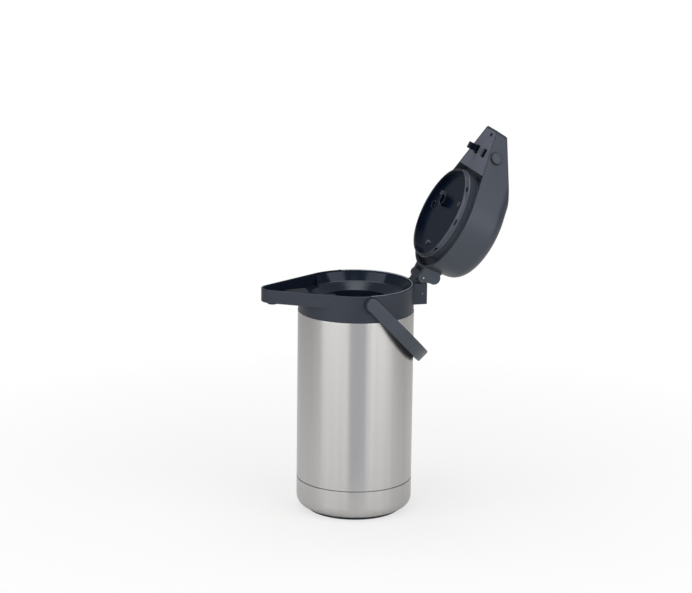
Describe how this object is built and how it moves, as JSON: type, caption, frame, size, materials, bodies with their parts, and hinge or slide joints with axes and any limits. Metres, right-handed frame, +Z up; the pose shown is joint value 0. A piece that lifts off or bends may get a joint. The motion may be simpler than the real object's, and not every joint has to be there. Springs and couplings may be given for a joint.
{
  "type": "pump pot",
  "caption": "Tall steel vacuum pot with a pouring collar, a hinged pump lid shown open, a side latch button and a swing-over carrying handle.",
  "frame": {"origin": "centre of the foot disc on the surface the pot stands on", "axes": "+Z up along the pot's axis, -Y towards the spout, hinge and handle axes along X"},
  "size_m": [0.1732, 0.3323, 0.516],
  "materials": {
    "steel": "brushed",
    "liner_steel": "satin",
    "charcoal": "fine satin",
    "black_plastic": "gloss",
    "rubber": "matt",
    "silicone": "matt",
    "pin_steel": "ground"
  },
  "bodies": {
    "pot": {"foot_disc": "rubber", "base_cup": "steel", "seam_ring": "black_plastic", "outer_shell": "steel", "vacuum_jacket": "liner_steel", "liner": "liner_steel", "liner_neck": "liner_steel", "liner_cushion": "rubber", "mouth_gasket": "silicone", "collar": "charcoal", "spout_tube": "black_plastic", "spout_nozzle": "black_plastic", "stem_head": "black_plastic", "stem_tube": "black_plastic", "hinge_pin": "pin_steel", "pivot_bushings": "charcoal"},
    "handle": {"handle": "charcoal"},
    "lid": {"lid_shell": "charcoal", "lid_base": "charcoal", "plug_cup": "black_plastic", "plug_gasket": "rubber", "air_valve": "silicone", "plug_screws": "pin_steel", "bellows": "rubber", "return_spring": "pin_steel", "latch_spring": "pin_steel"},
    "pump_button": {"button": "charcoal", "button_plate": "black_plastic", "intake_valve": "silicone"},
    "latch": {"latch_button": "charcoal", "latch_slider": "black_plastic"}
  },
  "joints": [
    {"name": "lid_hinge", "type": "hinge", "parent": "pot", "child": "lid", "pos_m": [0, 0.0885, 0.3192], "axis": [1, 0, 0], "range_deg": [0, 118]},
    {"name": "handle_pivot", "type": "hinge", "parent": "pot", "child": "handle", "pos_m": [0, 0, 0.302], "axis": [1, 0, 0], "range_deg": [0, 44]},
    {"name": "button_press", "type": "slide", "parent": "lid", "child": "pump_button", "axis": [0, -0.8829, 0.4695], "range_m": [0, 0.026], "stiffness_N_per_m": 900, "springref_m": -0.01, "deforming": ["bellows", "return_spring"]},
    {"name": "latch_press", "type": "slide", "parent": "lid", "child": "latch", "axis": [-0.891, -0.2131, -0.4008], "range_m": [0, 0.003], "stiffness_N_per_m": 900, "springref_m": -0.002, "deforming": ["latch_spring"]}
  ]
}
